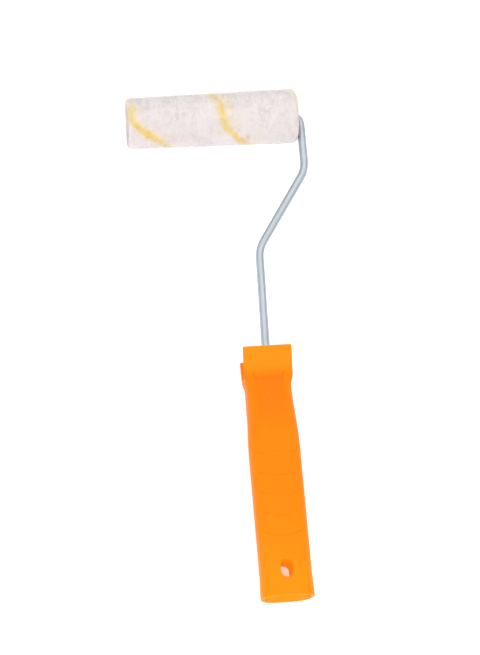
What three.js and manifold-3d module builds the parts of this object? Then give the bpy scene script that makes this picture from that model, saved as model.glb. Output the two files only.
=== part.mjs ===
// Small paint roller: a napped sleeve that spins on a bent steel wire, pressed into a moulded handle.
//
// Millimetres, +Z up. The roller lies on its back: +Z comes out of the handle's thumb side, +Y runs
// from the handle's butt towards the sleeve, and +X runs along the sleeve towards the wire's leg.
// The origin is the middle of the bounding box's underside.
//
// The parts are first built in a bench frame, with Y = 0 at the butt's end face and X = Z = 0 on the
// axis of the wire's lower run. The exported group shifts them to the origin.

import * as THREE from "three";
import { mergeVertices } from "three/addons/utils/BufferGeometryUtils.js";
import Module from "manifold-3d";

const wasm = await Module();
wasm.setup();

// ---------------------------------------------------------------- driving dimensions

const GAP = 0.3; // kept between two pieces that touch or press together
const ROUNDING = 1e-9; // what a sine or cosine that should be zero may be left at
const WELD = 1e-4; // corners closer than this are one

// Sleeve: a nominal 100 mm one, whose pile stands a little past both ends. Its wire end is at +X.
const SLEEVE_LENGTH = 103.4;
const SLEEVE_END_X = 31.7; // the pile's end face on the wire side
const SLEEVE_AXIS_Y = 299.3;
const PILE_R_WIRE_END = 16.5;
const PILE_R_FREE_END = 15.1;
const PILE_CORNER_WIRE_END = 2.6;
const PILE_CORNER_FREE_END = 1.8;
const CORE_R = 9.5;
const CORE_WALL = 1.5;

// End bearings: flanged plugs pressed into the core, sunk below the pile's ends.
const BEARING_SINK = 3.9; // from the pile's end face to the flange's outer face
const FLANGE_THICK = 1.2;
const FLANGE_R = 9.2;
const PLUG_LENGTH = 13;
const PLUG_WALL = 1.3;
const WEB_THICK = 1.8;
const HUB_R = 4.7;
const HUB_LENGTH = 17;
const RIB_COUNT = 4;
const RIB_THICK = 1.2;

// Washers that locate the sleeve along the wire.
const WASHER_R = 4.4;
const WASHER_THICK = 0.7;
const PUSH_NUT_R = 4.9;
const PUSH_NUT_THICK = 0.5;
const PUSH_NUT_DISH = 1.1;
const PUSH_NUT_TEETH = 6;
const PUSH_NUT_SLOT = { reach: 1.3, width: 0.7, depth: 4.4 }; // cut right through between the teeth

// Wire: one bent rod.
const WIRE_R = 2.4;
const LEG_X = 34.5; // the straight leg beside the sleeve's end
const ELBOW_R = 5.5; // bend from the sleeve's axis into the leg
const KNEE_R = 20; // the two bends of the crook
const UPPER_KNEE_Y = 263.7;
const LOWER_KNEE = [1.9, 214.2]; // the lower run leans a little once it has left the handle
const WIRE_TIP_INSET = 1.4; // the rod's tip behind the pile's free end
const WIRE_FOOT_Y = 86; // where the rod ends inside the handle
const EAR_SPAN = 7.2; // flattened ears that stop the thrust washer
const EAR_THICK = 0.8;
const EAR_HEIGHT = 1.8;

// Handle, measured up from its butt.
const HANDLE_LENGTH = 149.9; // to the top of the front lip
const BACK_LIP_Y = 146.6;
const NECK_Y = 133; // floor of the notch between the two lips
const HALF_WIDTH_BUTT = 15.8;
const HALF_WIDTH_GRIP = 15.3;
const HALF_WIDTH_NECK = 13.5; // waist just below the notch
const HALF_WIDTH_LIP = 14.8;
const FRONT_GRIP = 12.3; // front face above the wire's axis
const FRONT_NECK = 7;
const FRONT_LIP = 13.4;
const BACK_BUTT = 13.6; // back face below the wire's axis
const BACK_PALM = 16.4;
const BACK_NECK = 12.4;
const BACK_LIP = 15;
const PALM_Y = 62;
const LIP_WALL = 3;
const NOTCH_FLOOR_FRONT = 3; // the notch's floor, in front of and behind the wire's axis
const NOTCH_FLOOR_BACK = 4.4;
const SHELL_WALL = 2.6;
const HOLLOW_END_Y = 82;
const RIM_ROUND = 1.4;

// Stations between which the handle turns from one size or shape into the next.
const BUTT_TO_GRIP = [0, 16];
const GRIP_TO_NECK = [88, 127];
const NECK_TO_LIP = [127, 134];
const THUMB_DIP = [104, 134];
const PALM_TO_NECK = [PALM_Y, 128];
const BACK_FLARE = [130, BACK_LIP_Y];
const FRONT_SQUARING = [126, 142];
const BACK_SQUARING = [104, 130];

// Superellipse powers of the handle's section: 2 is an ellipse, and more is squarer.
const GRIP_POWER_FRONT = 3;
const GRIP_POWER_BACK = 2.5;
const LIP_POWER_FRONT = 14;
const LIP_POWER_BACK = 12;

// Thumb scoop: a trough that is deepest under the front lip and runs out onto the grip.
const SCOOP_START_Y = 100;
const SCOOP_START_Z = 12.6;
const SCOOP_FLOOR_Z = 5; // at NECK_Y
const SCOOP_FLANK = [7, 14.5]; // where its floor turns up into its sides, either way of the middle
const CREASE_Z = 5.2; // where the lip's face meets the scoop, at NECK_Y

// Grip grooves: five shallow smiles across the front.
const GROOVE_COUNT = 5;
const GROOVE_FIRST_Y = 36.8;
const GROOVE_PITCH = 11.9;
const GROOVE_HALF_SPAN = 12.4;
const GROOVE_SAG = 3.8;
const GROOVE_R = 1.3;
const GROOVE_DEPTH = 0.7;

// Hang hole: an upright slot with round ends, right through the handle.
const HOLE_Y = 16.2;
const HOLE_WIDTH = 7.4;
const HOLE_HEIGHT = 10.6;
const HOLE_CUT = 49.2; // depth of the block that cuts it, more than the handle's

// Butt plug: closes the hollow handle and carries the hang hole through it.
const PLUG_DEPTH = 27;
const PLUG_FIT = 0.4; // drawn clearance round the plug

// How far the other cutting blocks stand past what they cut.
const CUT_MARGIN = 1;
const NOTCH_MARGIN = 4;
const SOCKET_MARGIN = 2;

// Facet counts.
const ROUND_SEGMENTS = 48;
const SMALL_SEGMENTS = 24;
const PILE_CORNER_STEPS = 4;
const GROOVE_SIDES = 10;
const GROOVE_STATIONS = 8; // places along a groove that its curve runs through
const GROOVE_STEPS = 10;
const HOLE_SEGMENTS = 9; // to each half round of the hang hole
const SCOOP_CELLS = { across: 24, along: 14 };
const WIRE_SIDES = 14;
const WIRE_STEPS = 150;
const HANDLE_SIDES = 44;
const HANDLE_STEPS = 40;
const HOLLOW_STEPS = 16;
const STATION_CROWDING = 0.11; // of a loft's length, towards both ends
const PLUG_STEPS = 6;

// ---------------------------------------------------------------- derived places

const SLEEVE_FREE_X = SLEEVE_END_X - SLEEVE_LENGTH;
const BORE_R = WIRE_R + GAP;
const WIRE_END_FACE_X = SLEEVE_END_X - BEARING_SINK;
const FREE_END_FACE_X = SLEEVE_FREE_X + BEARING_SINK;
const LIP_SLOPE = (FRONT_LIP - CREASE_Z) / (HANDLE_LENGTH - NECK_Y);
const AXIS_HEIGHT = PILE_R_WIRE_END; // the sleeve lies on the ground

// ---------------------------------------------------------------- helpers

const clamp01 = (t) => Math.min(1, Math.max(0, t));

// Clears the rounding left in a sine or cosine that should be zero, so that seams meet exactly.
const snapped = (t) => (Math.abs(t) < ROUNDING ? 0 : t);

// Smooth 0..1 ramp between two stations.
function ramp(value, from, to) {
  const t = clamp01((value - from) / (to - from));
  return t * t * (3 - 2 * t);
}

const mix = (a, b, t) => a + (b - a) * t;

function toSolid(geometry) {
  const bare = geometry.clone();
  bare.deleteAttribute("normal");
  bare.deleteAttribute("uv");
  const merged = mergeVertices(bare, WELD);
  return new wasm.Manifold(
    new wasm.Mesh({
      numProp: 3,
      vertProperties: merged.attributes.position.array,
      triVerts: new Uint32Array(merged.index.array),
    }),
  );
}

function toGeometry(solid) {
  const { vertProperties, triVerts } = solid.getMesh();
  const geometry = new THREE.BufferGeometry();
  geometry.setAttribute("position", new THREE.BufferAttribute(vertProperties, 3));
  geometry.setIndex(new THREE.BufferAttribute(triVerts, 1));
  geometry.computeVertexNormals();
  return geometry;
}

// Turns a closed profile of [along, radius] points about the sleeve's axis, which runs along X.
function turnedOnSleeveAxis(profile, segments) {
  const points = profile.map(([along, radius]) => new THREE.Vector2(radius, along));
  points.push(points[0].clone());
  return new THREE.LatheGeometry(points, segments)
    .rotateZ(-Math.PI / 2)
    .translate(0, SLEEVE_AXIS_Y, 0);
}

// A plain ring between two places on the sleeve's axis.
function ringOnSleeveAxis(fromX, toX, innerR, outerR, segments) {
  const profile = [
    [fromX, innerR],
    [fromX, outerR],
    [toX, outerR],
    [toX, innerR],
  ];
  return turnedOnSleeveAxis(profile, segments);
}

// Extrudes an outline drawn in the side view, as [y, z] points, right across the handle.
function acrossHandle(outline, halfWidth) {
  const shape = new THREE.Shape(outline.map(([y, z]) => new THREE.Vector2(y, z)));
  return new THREE.ExtrudeGeometry(shape, { depth: 2 * halfWidth, bevelEnabled: false })
    .translate(0, 0, -halfWidth)
    .applyMatrix4(
      new THREE.Matrix4().makeBasis(
        new THREE.Vector3(0, 1, 0),
        new THREE.Vector3(0, 0, 1),
        new THREE.Vector3(1, 0, 0),
      ),
    );
}

// A round section with the given number of sides.
function roundSection(radius, sides) {
  const points = [];
  for (let k = 0; k < sides; k++) {
    const angle = (2 * Math.PI * k) / sides;
    points.push(new THREE.Vector2(radius * Math.cos(angle), radius * Math.sin(angle)));
  }
  return new THREE.Shape(points);
}

function named(name, geometry, material) {
  const mesh = new THREE.Mesh(geometry, material);
  mesh.name = name;
  return mesh;
}

// ---------------------------------------------------------------- materials

const material = (color, roughness, metalness) =>
  new THREE.MeshStandardMaterial({ color, roughness, metalness });

const pileWhite = () => material(0xf1ecea, 0.95, 0);
const coreWhite = () => material(0xe8e6df, 0.5, 0);
const bearingOrange = () => material(0xd9512c, 0.45, 0);
const zincWire = () => material(0xc3c9ce, 0.3, 1);
const springSteel = () => material(0x8d9297, 0.35, 1);
const handleOrange = () => material(0xff8e16, 0.42, 0);

// ---------------------------------------------------------------- sleeve

// Quarter-round corner of the pile, from one [along, radius] point to the next.
function pileCorner(endX, outerR, round, side) {
  const points = [];
  for (let k = 0; k <= PILE_CORNER_STEPS; k++) {
    const angle = ((Math.PI / 2) * k) / PILE_CORNER_STEPS;
    const along = endX - side * round * (1 - Math.cos(angle));
    points.push([along, outerR - round * (1 - Math.sin(angle))]);
  }
  return points;
}

function pileCover() {
  const innerR = CORE_R + GAP;
  const free = pileCorner(SLEEVE_FREE_X, PILE_R_FREE_END, PILE_CORNER_FREE_END, -1);
  const wire = pileCorner(SLEEVE_END_X, PILE_R_WIRE_END, PILE_CORNER_WIRE_END, 1);
  const profile = [
    [SLEEVE_FREE_X, innerR],
    ...free,
    ...wire.reverse(),
    [SLEEVE_END_X, innerR],
  ];
  return named("pile_cover", turnedOnSleeveAxis(profile, ROUND_SEGMENTS), pileWhite());
}

function coreTube() {
  const inset = BEARING_SINK + FLANGE_THICK + GAP;
  const geometry = ringOnSleeveAxis(
    SLEEVE_FREE_X + inset,
    SLEEVE_END_X - inset,
    CORE_R - CORE_WALL,
    CORE_R,
    ROUND_SEGMENTS,
  );
  return named("core_tube", geometry, coreWhite());
}

// A flanged plug with a hub, a thin barrel and ribs between them. Its flange faces outwards:
// side is +1 at the wire end and -1 at the free end.
function endBearing(name, faceX, side) {
  const barrelR = CORE_R - CORE_WALL - GAP;
  const at = (depth) => faceX - side * depth;
  const profile = [
    [at(0), BORE_R],
    [at(0), FLANGE_R],
    [at(FLANGE_THICK), FLANGE_R],
    [at(FLANGE_THICK), barrelR],
    [at(PLUG_LENGTH), barrelR],
    [at(PLUG_LENGTH), barrelR - PLUG_WALL],
    [at(WEB_THICK), barrelR - PLUG_WALL],
    [at(WEB_THICK), HUB_R],
    [at(HUB_LENGTH), HUB_R],
    [at(HUB_LENGTH), BORE_R],
  ];
  if (side > 0) profile.reverse();
  let solid = toSolid(turnedOnSleeveAxis(profile, SMALL_SEGMENTS));
  const ribFrom = HUB_R - GAP;
  const ribTo = barrelR - PLUG_WALL + GAP;
  for (let k = 0; k < RIB_COUNT; k++) {
    const rib = new THREE.BoxGeometry(PLUG_LENGTH - WEB_THICK, ribTo - ribFrom, RIB_THICK)
      .translate(0, (ribFrom + ribTo) / 2, 0)
      .rotateX((2 * Math.PI * (k + 0.5)) / RIB_COUNT)
      .translate(at(PLUG_LENGTH / 2), SLEEVE_AXIS_Y, 0);
    solid = solid.add(toSolid(rib));
  }
  return named(name, toGeometry(solid), bearingOrange());
}

// ---------------------------------------------------------------- washers

function flatWasher(name, faceX, side) {
  const near = faceX + side * GAP;
  const far = near + side * WASHER_THICK;
  const geometry = ringOnSleeveAxis(
    Math.min(near, far),
    Math.max(near, far),
    BORE_R,
    WASHER_R,
    SMALL_SEGMENTS,
  );
  return named(name, geometry, zincWire());
}

// A dished spring washer with slots, pushed onto the wire's tip.
function pushNut() {
  const nearX = FREE_END_FACE_X - GAP - WASHER_THICK - GAP;
  const hubX = nearX - PUSH_NUT_DISH;
  const profile = [
    [hubX - PUSH_NUT_THICK, BORE_R],
    [nearX - PUSH_NUT_THICK, PUSH_NUT_R],
    [nearX, PUSH_NUT_R],
    [hubX, BORE_R],
  ];
  let solid = toSolid(turnedOnSleeveAxis(profile, SMALL_SEGMENTS));
  const { reach, width, depth } = PUSH_NUT_SLOT;
  for (let k = 0; k < PUSH_NUT_TEETH; k++) {
    const slot = new THREE.BoxGeometry(depth, reach + GAP, width)
      .translate(hubX, BORE_R + (reach - GAP) / 2, 0)
      .rotateX((2 * Math.PI * k) / PUSH_NUT_TEETH)
      .translate(0, SLEEVE_AXIS_Y, 0);
    solid = solid.subtract(toSolid(slot));
  }
  return named("push_nut", toGeometry(solid), springSteel());
}

// ---------------------------------------------------------------- wire

// A line from one corner to the next, stopping short of each bend, then the bend itself.
function bentPath(corners) {
  const path = new THREE.CurvePath();
  let from = corners[0].at;
  for (let k = 1; k < corners.length - 1; k++) {
    const { at, radius } = corners[k];
    const into = at.clone().sub(corners[k - 1].at).normalize();
    const out = corners[k + 1].at.clone().sub(at).normalize();
    const turn = into.angleTo(out);
    const tangent = radius * Math.tan(turn / 2);
    const start = at.clone().addScaledVector(into, -tangent);
    const end = at.clone().addScaledVector(out, tangent);
    const handle = ((4 / 3) * Math.tan(turn / 4)) * radius;
    path.add(new THREE.LineCurve3(from, start));
    path.add(
      new THREE.CubicBezierCurve3(
        start,
        start.clone().addScaledVector(into, handle),
        end.clone().addScaledVector(out, -handle),
        end,
      ),
    );
    from = end;
  }
  path.add(new THREE.LineCurve3(from, corners.at(-1).at));
  return path;
}

function wireFrame() {
  const corner = (x, y, radius) => ({ at: new THREE.Vector3(x, y, 0), radius });
  const path = bentPath([
    corner(SLEEVE_FREE_X + WIRE_TIP_INSET, SLEEVE_AXIS_Y),
    corner(LEG_X, SLEEVE_AXIS_Y, ELBOW_R),
    corner(LEG_X, UPPER_KNEE_Y, KNEE_R),
    corner(...LOWER_KNEE, KNEE_R),
    corner(0, NECK_Y, KNEE_R),
    corner(0, WIRE_FOOT_Y),
  ]);
  const rod = new THREE.ExtrudeGeometry(roundSection(WIRE_R, WIRE_SIDES), {
    steps: WIRE_STEPS,
    extrudePath: path,
  });
  const earX = WIRE_END_FACE_X + GAP + WASHER_THICK + GAP + EAR_THICK / 2;
  const ears = new THREE.BoxGeometry(EAR_THICK, EAR_SPAN, EAR_HEIGHT)
    .translate(earX, SLEEVE_AXIS_Y, 0);
  const solid = toSolid(rod).add(toSolid(ears));
  return named("wire_frame", toGeometry(solid), zincWire());
}

// ---------------------------------------------------------------- handle

// Half width, front and back reach of the handle's outside at a station along it.
function handleReach(y) {
  const toNeck = ramp(y, ...PALM_TO_NECK);
  let width = mix(HALF_WIDTH_BUTT, HALF_WIDTH_GRIP, ramp(y, ...BUTT_TO_GRIP));
  width = mix(width, HALF_WIDTH_NECK, ramp(y, ...GRIP_TO_NECK));
  width = mix(width, HALF_WIDTH_LIP, ramp(y, ...NECK_TO_LIP));
  const lipFace = CREASE_Z + (y - NECK_Y) * LIP_SLOPE;
  const front = Math.max(mix(FRONT_GRIP, FRONT_NECK, ramp(y, ...THUMB_DIP)), lipFace);
  const palm = ramp(y, 0, PALM_Y) * (1 - toNeck);
  const flareShare = (y - BACK_FLARE[0]) / (BACK_FLARE[1] - BACK_FLARE[0]);
  const flare = (BACK_LIP - BACK_NECK) * clamp01(flareShare);
  const back = mix(mix(BACK_BUTT, BACK_NECK, toNeck), BACK_PALM, palm) + flare;
  return { width, front, back };
}

// How far the rounded rim of the butt has drawn in at a station.
function rimLoss(y) {
  const rise = clamp01(y / RIM_ROUND);
  return RIM_ROUND * (1 - Math.sqrt(1 - (1 - rise) ** 2));
}

// How square the section is at a station: rounded along the grip, with sharp corners at the lips.
function handlePower(y, frontSide) {
  return frontSide
    ? mix(GRIP_POWER_FRONT, LIP_POWER_FRONT, ramp(y, ...FRONT_SQUARING))
    : mix(GRIP_POWER_BACK, LIP_POWER_BACK, ramp(y, ...BACK_SQUARING));
}

// Reshapes an upright cylinder into the handle's outside, or, drawn in by an inset that depends on
// the station, into its hollow.
function handleForm(fromY, toY, insetAt, steps) {
  const height = toY - fromY;
  const geometry = new THREE.CylinderGeometry(1, 1, height, HANDLE_SIDES, steps);
  geometry.translate(0, height / 2, 0);
  const position = geometry.getAttribute("position");
  for (let k = 0; k < position.count; k++) {
    const y = fromY + height * stationShare(position.getY(k) / height);
    const cos = snapped(position.getX(k));
    const sin = snapped(position.getZ(k));
    const reach = handleReach(y);
    const inset = insetAt(y);
    const exponent = 2 / handlePower(y, sin > 0);
    const depth = (sin > 0 ? reach.front : reach.back) - inset;
    const x = Math.sign(cos) * Math.abs(cos) ** exponent * (reach.width - inset);
    const z = Math.sign(sin) * Math.abs(sin) ** exponent * depth;
    position.setXYZ(k, x, y, z);
  }
  return geometry;
}

// Crowds stations towards both ends, where the handle's shape changes fastest.
function stationShare(share) {
  return share - STATION_CROWDING * Math.sin(2 * Math.PI * share);
}

// Front face height at a place on the grip.
function frontSurface(x, y) {
  const reach = handleReach(y);
  const power = handlePower(y, true);
  return reach.front * (1 - Math.abs(x / reach.width) ** power) ** (1 / power);
}

function gripGroove(index) {
  const middleY = GROOVE_FIRST_Y + index * GROOVE_PITCH - GROOVE_SAG / 2;
  const points = [];
  for (let k = 0; k <= GROOVE_STATIONS; k++) {
    const across = (2 * k) / GROOVE_STATIONS - 1;
    const x = across * GROOVE_HALF_SPAN;
    const y = middleY + GROOVE_SAG * across ** 2;
    points.push(new THREE.Vector3(x, y, frontSurface(x, y) + GROOVE_R - GROOVE_DEPTH));
  }
  return new THREE.ExtrudeGeometry(roundSection(GROOVE_R, GROOVE_SIDES), {
    steps: GROOVE_STEPS,
    extrudePath: new THREE.CatmullRomCurve3(points),
  });
}

function hangHole() {
  const r = HOLE_WIDTH / 2;
  const straight = (HOLE_HEIGHT - HOLE_WIDTH) / 2;
  const outline = new THREE.Shape();
  outline.absarc(0, HOLE_Y + straight, r, 0, Math.PI);
  outline.absarc(0, HOLE_Y - straight, r, Math.PI, 2 * Math.PI);
  return new THREE.ExtrudeGeometry(outline, {
    depth: HOLE_CUT,
    curveSegments: HOLE_SEGMENTS,
    bevelEnabled: false,
  }).translate(0, 0, -HOLE_CUT / 2);
}

// The V between the front and back lips, where the rim of a paint pot goes, with the back lip's
// top cut level.
function lipNotch() {
  const lowZ = -(BACK_LIP + NOTCH_MARGIN);
  const topY = HANDLE_LENGTH + NOTCH_MARGIN;
  const outline = [
    [NECK_Y, NOTCH_FLOOR_FRONT],
    [NECK_Y, -NOTCH_FLOOR_BACK],
    [BACK_LIP_Y, -(BACK_LIP - LIP_WALL)],
    [BACK_LIP_Y, lowZ],
    [topY, lowZ],
    [topY, FRONT_LIP - LIP_WALL + NOTCH_MARGIN * LIP_SLOPE],
    [HANDLE_LENGTH, FRONT_LIP - LIP_WALL],
  ];
  return acrossHandle(outline, HALF_WIDTH_LIP + NOTCH_MARGIN);
}

// Height of the thumb scoop's floor at a place on the handle.
function scoopFloor(x, y) {
  const share = Math.max(0, (y - SCOOP_START_Y) / (NECK_Y - SCOOP_START_Y));
  const middle = SCOOP_START_Z - (SCOOP_START_Z - SCOOP_FLOOR_Z) * share ** 2;
  return mix(middle, SCOOP_START_Z, ramp(Math.abs(x), ...SCOOP_FLANK));
}

// A block whose underside is the thumb scoop's floor, kept off the lip's own face.
function thumbScoop() {
  const width = 2 * SCOOP_FLANK[1];
  const length = HANDLE_LENGTH - SCOOP_START_Y;
  const top = FRONT_LIP + CUT_MARGIN;
  const startY = SCOOP_START_Y - CUT_MARGIN;
  const endY = HANDLE_LENGTH + CUT_MARGIN;
  const { across, along } = SCOOP_CELLS;
  const block = new THREE.BoxGeometry(width, length, top, across, along, 1)
    .translate(0, SCOOP_START_Y + length / 2, 0);
  const position = block.getAttribute("position");
  for (let k = 0; k < position.count; k++) {
    const floor = scoopFloor(position.getX(k), Math.min(position.getY(k), NECK_Y));
    position.setZ(k, position.getZ(k) < 0 ? floor : top);
  }
  const inFrontOfLip = [
    [startY, 0],
    [NECK_Y - CREASE_Z / LIP_SLOPE, 0],
    [endY, FRONT_LIP + CUT_MARGIN * LIP_SLOPE],
    [endY, top + CUT_MARGIN],
    [startY, top + CUT_MARGIN],
  ];
  return toSolid(block).intersect(toSolid(acrossHandle(inFrontOfLip, width)));
}

function wireSocket() {
  const reach = NECK_Y - HOLLOW_END_Y + 2 * SOCKET_MARGIN;
  return new THREE.CylinderGeometry(BORE_R, BORE_R, reach, SMALL_SEGMENTS)
    .translate(0, NECK_Y + SOCKET_MARGIN - reach / 2, 0);
}

function handleShell() {
  const hollow = handleForm(-CUT_MARGIN, HOLLOW_END_Y, () => SHELL_WALL, HOLLOW_STEPS);
  let solid = toSolid(handleForm(0, HANDLE_LENGTH, rimLoss, HANDLE_STEPS));
  solid = solid.subtract(toSolid(hollow));
  solid = solid.subtract(toSolid(lipNotch()));
  solid = solid.subtract(thumbScoop());
  solid = solid.subtract(toSolid(wireSocket()));
  solid = solid.subtract(toSolid(hangHole()));
  for (let k = 0; k < GROOVE_COUNT; k++) {
    solid = solid.subtract(toSolid(gripGroove(k)));
  }
  return named("handle_shell", toGeometry(solid), handleOrange());
}

function buttPlug() {
  const body = handleForm(0, PLUG_DEPTH, () => SHELL_WALL + PLUG_FIT, PLUG_STEPS);
  const solid = toSolid(body).subtract(toSolid(hangHole()));
  return named("butt_plug", toGeometry(solid), handleOrange());
}

// ---------------------------------------------------------------- assembly

const sleeve = new THREE.Group();
sleeve.add(
  pileCover(),
  coreTube(),
  endBearing("wire_end_bearing", WIRE_END_FACE_X, 1),
  endBearing("free_end_bearing", FREE_END_FACE_X, -1),
);

const frame = new THREE.Group();
frame.add(
  wireFrame(),
  flatWasher("thrust_washer", WIRE_END_FACE_X, 1),
  flatWasher("end_washer", FREE_END_FACE_X, -1),
  pushNut(),
  handleShell(),
  buttPlug(),
);

const roller = new THREE.Group();
roller.add(sleeve, frame);

// From the bench frame to the middle of the bounding box's underside.
const middleX = (SLEEVE_FREE_X + LEG_X + WIRE_R) / 2;
const middleY = (SLEEVE_AXIS_Y + PILE_R_WIRE_END) / 2;
roller.position.set(-middleX, -middleY, AXIS_HEIGHT);

export default roller;
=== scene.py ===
import math

import bpy
import numpy as np
from mathutils import Matrix, Vector


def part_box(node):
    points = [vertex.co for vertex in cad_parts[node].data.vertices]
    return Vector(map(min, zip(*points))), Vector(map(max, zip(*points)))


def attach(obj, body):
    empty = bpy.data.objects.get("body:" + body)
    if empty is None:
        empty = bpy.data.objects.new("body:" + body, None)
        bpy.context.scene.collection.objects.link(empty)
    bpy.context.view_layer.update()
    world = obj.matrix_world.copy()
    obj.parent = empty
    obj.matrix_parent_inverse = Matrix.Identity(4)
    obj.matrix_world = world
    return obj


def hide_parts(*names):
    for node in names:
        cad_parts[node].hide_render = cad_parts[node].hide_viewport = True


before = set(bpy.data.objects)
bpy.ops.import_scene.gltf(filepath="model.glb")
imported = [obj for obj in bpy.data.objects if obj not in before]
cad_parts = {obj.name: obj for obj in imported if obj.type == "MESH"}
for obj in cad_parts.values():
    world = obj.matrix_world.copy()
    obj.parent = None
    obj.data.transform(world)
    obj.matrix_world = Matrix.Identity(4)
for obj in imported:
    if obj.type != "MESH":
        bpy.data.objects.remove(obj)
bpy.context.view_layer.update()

# The looks of a small paint roller. Shapes are worked out on the bench, in millimetres: X and Z are 0
# on the axis of the wire's lower run, Y is 0 at the handle's butt and +Z is the thumb side. to_row()
# takes bench millimetres to the frame's metres.

MM = 0.001
handle_low, handle_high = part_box("handle_shell")
wire_low, wire_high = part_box("wire_frame")
BENCH = np.array([
    (handle_low.x + handle_high.x) / 2,
    handle_low.y,
    (wire_low.z + wire_high.z) / 2,
])

# ---------------------------------------------------------------- driving dimensions, millimetres

GAP = 0.3  # kept between two pieces that touch or press together
SLEEVE_FREE_X = -71.7
SLEEVE_END_X = 31.7
SLEEVE_AXIS_Y = 299.3
PILE_R_WIRE_END = 16.5
PILE_R_FREE_END = 15.1
PILE_FOOT_R = 9.7
CORE_R = 9.5
CORE_WALL = 1.5
CORE_INSET = 5.4
BEARING_SINK = 3.9
FLANGE_R = 9.2
FLANGE_THICK = 1.2
FLANGE_DISH = (5.2, 8)  # inner and outer radius of the shallow ring sunk in its face
FLANGE_DISH_DEPTH = 0.5
WEB_THICK = 1.8
BARREL_LENGTH = 13
BARREL_WALL = 1.3
HUB_R = 4.7
HUB_LENGTH = 17
RIB_HALF = 0.6
RIB_SPAN = (1, 12.5)  # depths behind the face
RIB_REACH = (4, 7)  # radii
WASHER_R = 4.4
WASHER_THICK = 0.7
PUSH_NUT_R = 4.9
PUSH_NUT_THICK = 0.5
PUSH_NUT_DISH = 1.1
PUSH_NUT_TEETH = 6
PUSH_NUT_GRIP = 0.05  # how near its teeth come to the rod
PUSH_NUT_SLIT_HALF = 0.35
PUSH_NUT_SLIT_R = 4
EAR_OFF = 1.7  # from the bearing's face to the ears' middle
EAR_HALF_THICK = 0.42
EAR_HALF_HEIGHT = 0.9
EAR_HALF_SPAN = 3.6
EAR_ROOT = 0.2  # how deep the ears reach into the rod
WIRE_END_FACE_X = SLEEVE_END_X - BEARING_SINK
FREE_END_FACE_X = SLEEVE_FREE_X + BEARING_SINK

WIRE_R = 2.4
BORE_R = WIRE_R + GAP
WIRE_TIP_X = -70.3
WIRE_FOOT_Y = 86
WIRE_CHAMFER = 0.5
WIRE_STEP = 0.8
WIRE_STEP_INSET = 2  # from its ends to the first and last of its steps
BEND_FLATTENING = 0.3  # for each 1/mm of bend
SHARPEST_BEND = 0.2  # 1/mm, past which it is flattened no more
LEG_X = 34.5
ELBOW_R = 5.5
KNEE_R = 20
UPPER_KNEE_Y = 263.7
LOWER_KNEE = (1.9, 214.2)

HANDLE_LENGTH = 149.9
BACK_LIP_Y = 146.6
NECK_Y = 133
HALF_WIDTH_BUTT = 15.7
HALF_WIDTH_GRIP = 15.2
HALF_WIDTH_NECK = 13.4
HALF_WIDTH_LIP = 14.7
FRONT_GRIP = 12.3
FRONT_NECK = 7
FRONT_LIP = 13.4
BACK_BUTT = 13.6
BACK_PALM = 16.3
BACK_NECK = 12.4
BACK_LIP = 15
PALM_Y = 62
LIP_WALL = 3
NOTCH_FLOOR_FRONT = 3
NOTCH_FLOOR_BACK = 4.4
OVER_BACK_LIP_Z = -2  # the space over the back lip is open behind this
SHELL_WALL = 2.6
HOLLOW_END_Y = 82
SOCKET_OVERLAP = 2  # how far the wire's socket runs on into the hollow
CREASE_Z = 5.2

# Stations between which the handle turns from one size or shape into the next.
BUTT_TO_GRIP = (0, 16)
GRIP_TO_NECK = (88, 127)
NECK_TO_LIP = (127, 134)
THUMB_DIP = (104, 134)
PALM_TO_NECK = (PALM_Y, 128)
BACK_FLARE = (130, BACK_LIP_Y)
FLARE_RUN_ON = 1.2  # share of itself that the flare runs on to, above the back lip
FRONT_SQUARING = (126, 142)
BACK_SQUARING = (104, 130)

# Superellipse powers of the section, at the grip and at the lips.
FRONT_POWERS = (3, 16)
BACK_POWERS = (2.5, 14)

# How softly the handle's faces run into each other.
RIM_ROUND = 0.7
LIP_TOP_ROUND = 0.8
LIP_FOOT_BLEND = 1.0
SCOOP_BLEND = 2.0
SCOOP_TO_LIP_BLEND = 0.8
NOTCH_ROUND = 0.8
NOTCH_SIDES_BLEND = 1.5
NOTCH_FLOOR_BLEND = 2.0
SOCKET_ROUND = 0.8
SOCKET_END_BLEND = 0.3
HOLLOW_END_BLEND = 3
HOLLOW_RIM_ROUND = 0.5
HOLE_ROUND = 0.6
PLUG_ROUND = 1.0
PLUG_HOLE_ROUND = 0.8

LIP_SLOPE = (FRONT_LIP - CREASE_Z) / (HANDLE_LENGTH - NECK_Y)
SCOOP_START_Y = 100
SCOOP_START_Z = 12.6
SCOOP_FLOOR_Z = 5
SCOOP_FLANK = (7, 14.5)
STEP_COUNT = 5
STEP_FIRST_Y = 36.8
STEP_PITCH = 11.9
STEP_HALF_SPAN = 13
STEP_SAG = 3.8
STEP_DEPTH = 1.0
STEP_EDGE = 0.3  # half the length over which a step drops
STEP_RUN_OUT = 3.0  # length over which it fades again above its edge
STEP_SIDE_FADE = (0.75, 1.05)  # shares of its half span
STEP_FRONT_FADE = (3, 7)  # heights over the wire's axis
HOLE_Y = 16.2
HOLE_WIDTH = 7.4
HOLE_HEIGHT = 10.6
HOLE_RIM_HEIGHT = 0.28
HOLE_RIM_OFF = 1.3  # from the hole's edge to the raised rim's crest
HOLE_RIM_WIDTH = 0.9
PLUG_DEPTH = 27
PLUG_FIT = 0.35
PLUG_SINK = 0.1

# ---------------------------------------------------------------- small helpers


def to_row(points):
    """Bench millimetres as the frame's metres."""
    return np.asarray(points, float) * MM + BENCH


def mix(a, b, t):
    """A share t of the way from a to b."""
    return a + (b - a) * t


def ramp(value, start, stop):
    """Smooth 0..1 ramp between two stations."""
    t = np.clip((value - start) / (stop - start), 0, 1)
    return t * t * (3 - 2 * t)


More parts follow.
